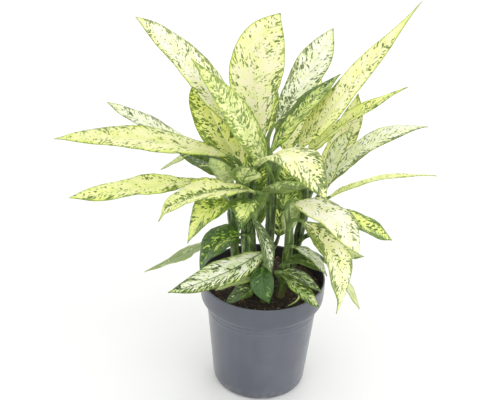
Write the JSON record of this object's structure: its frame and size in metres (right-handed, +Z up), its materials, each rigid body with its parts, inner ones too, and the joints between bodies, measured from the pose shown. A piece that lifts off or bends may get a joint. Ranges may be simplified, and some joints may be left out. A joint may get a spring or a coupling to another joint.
{
  "type": "potted dieffenbachia",
  "caption": "Bushy dieffenbachia house plant: long pointed blades mottled in cream and green on upright green canes, rooted in dark soil in a round tapered grey nursery pot.",
  "frame": {"origin": "centre of the pot's foot, on the surface that the pot stands on", "axes": "+Z up along the pot's axis, -Y towards the viewer of the picture, +X to the viewer's right"},
  "size_m": [0.4762, 0.3267, 0.5473],
  "materials": {
    "pot_plastic": "satin",
    "potting_soil": "matte",
    "stem_green": "satin",
    "leaf_cream": "satin",
    "leaf_yellow_green": "satin",
    "leaf_white": "satin",
    "leaf_green": "satin"
  },
  "bodies": {
    "root": {"pot": "pot_plastic", "soil": "potting_soil", "shoot_left": "stem_green", "shoot_rear_left": "stem_green", "shoot_rear_right": "stem_green", "shoot_centre": "stem_green", "shoot_right": "stem_green", "shoot_front_left": "stem_green", "shoot_front_right": "stem_green", "shoot_front_low": "stem_green", "leaf_01": "leaf_cream", "leaf_02": "leaf_yellow_green", "leaf_03": "leaf_yellow_green", "leaf_04": "leaf_cream", "leaf_05": "leaf_white", "leaf_06": "leaf_cream", "leaf_07": "leaf_green", "leaf_08": "leaf_yellow_green", "leaf_09": "leaf_cream", "leaf_10": "leaf_white", "leaf_11": "leaf_white", "leaf_12": "leaf_yellow_green", "leaf_13": "leaf_cream", "leaf_14": "leaf_cream", "leaf_15": "leaf_cream", "leaf_16": "leaf_green", "leaf_17": "leaf_green", "leaf_18": "leaf_white", "leaf_19": "leaf_yellow_green", "leaf_20": "leaf_yellow_green", "leaf_21": "leaf_cream", "leaf_22": "leaf_yellow_green", "leaf_23": "leaf_yellow_green", "leaf_24": "leaf_green", "leaf_25": "leaf_cream", "leaf_26": "leaf_green", "leaf_27": "leaf_green", "leaf_28": "leaf_green", "leaf_29": "leaf_green", "leaf_30": "leaf_white", "leaf_31": "leaf_green", "leaf_32": "leaf_green", "leaf_33": "leaf_green", "leaf_34": "leaf_white", "leaf_35": "leaf_green", "leaf_36": "leaf_green", "leaf_37": "leaf_yellow_green", "leaf_38": "leaf_cream", "leaf_39": "leaf_green", "leaf_40": "leaf_white", "leaf_41": "leaf_green", "leaf_42": "leaf_green", "leaf_43": "leaf_cream", "leaf_44": "leaf_yellow_green", "leaf_45": "leaf_green", "leaf_46": "leaf_cream", "leaf_47": "leaf_green", "leaf_48": "leaf_green", "leaf_49": "leaf_yellow_green", "leaf_50": "leaf_green"}
  },
  "joints": []
}
